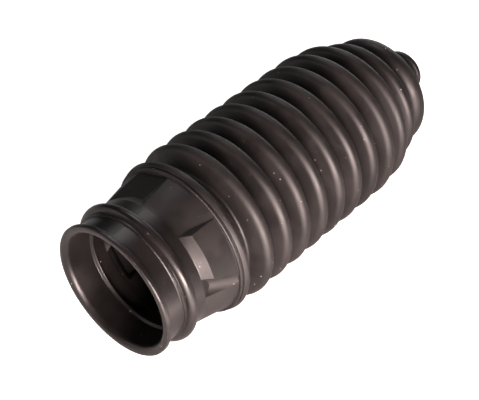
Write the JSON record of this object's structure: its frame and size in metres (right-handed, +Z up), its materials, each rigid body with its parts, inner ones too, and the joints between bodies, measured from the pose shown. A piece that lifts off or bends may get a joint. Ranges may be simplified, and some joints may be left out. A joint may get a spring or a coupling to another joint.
{
  "type": "rubber bellows boot",
  "caption": "Folded rubber boot that covers a sliding rod or joint, keeps its grease in and dirt out, and is clamped at a wide cuff and a small cuff.",
  "frame": {"origin": "on the floor under the middle of the boot's length, midway between its sides", "axes": "+Z up; +Y along the boot's axis from the wide cuff to the small cuff; +X to the right of that; the boot lies on its full-size folds, which have a small flat spot where they rest"},
  "size_m": [0.0726, 0.193, 0.0723],
  "materials": {
    "rubber": "matte"
  },
  "bodies": {
    "root": {"bellows_boot": "rubber"}
  },
  "joints": []
}
